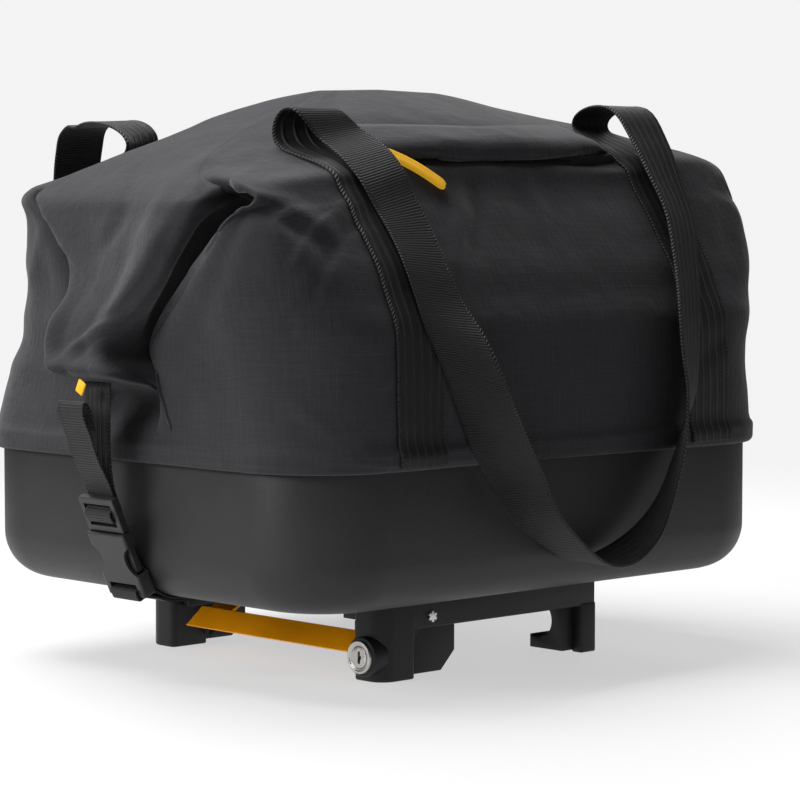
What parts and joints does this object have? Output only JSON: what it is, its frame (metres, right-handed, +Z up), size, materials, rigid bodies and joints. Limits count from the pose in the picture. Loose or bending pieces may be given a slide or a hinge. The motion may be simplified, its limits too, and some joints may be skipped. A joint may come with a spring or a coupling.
{
  "type": "bicycle rack bag",
  "caption": "Bicycle rack bag: moulded tub, soft fabric dome with folded ends, zip, hanging handles, buckled end straps and a click-on rack adapter with lever and lock.",
  "frame": {"origin": "on the floor, under the middle of the bag's outline", "axes": "+X along the bag, away from the lock and the release lever; -Y towards the long side with the zip; +Z up"},
  "size_m": [0.5092, 0.426, 0.3705],
  "materials": {
    "tub": "satin moulded plastic, dark grey",
    "fabric": "charcoal ripstop weave",
    "webbing": "black ribbed webbing with a faint sheen",
    "buckle": "matte black plastic",
    "adapter": "fine-grained black plastic",
    "orange": "smooth orange plastic",
    "steel": "nickel-plated metal"
  },
  "bodies": {
    "bag": {"adapter_rail_back": "adapter", "adapter_rail_front": "adapter", "anchor_loop_left": "webbing", "anchor_loop_right": "webbing", "bag_body": "fabric", "base_tub": "tub", "buckle_female_left": "buckle", "buckle_female_right": "buckle", "buckle_male_left": "buckle", "buckle_male_right": "buckle", "end_strap_left": "webbing", "end_strap_right": "webbing", "handle_back": "webbing", "handle_front": "webbing", "lock_barrel": "steel", "lock_housing": "adapter", "pivot_pin_back": "steel", "pivot_pin_front": "steel", "zip_placket": "fabric", "zip_pull": "orange", "zip_slider": "steel", "zip_tape": "webbing"},
    "release": {"release_lever": "orange", "lever_hook_front": "adapter", "lever_hook_back": "adapter"},
    "plug": {"lock_plug": "steel"}
  },
  "joints": [
    {"name": "release_lever_pivot", "type": "hinge", "parent": "bag", "child": "release", "pos_m": [-0.061, 0, 0.038], "axis": [0, 1, 0], "range_deg": [0, 20]},
    {"name": "lock_turn", "type": "hinge", "parent": "bag", "child": "plug", "pos_m": [-0.11, -0.102, 0.016], "axis": [1, 0, 0], "range_deg": [0, 90]}
  ]
}
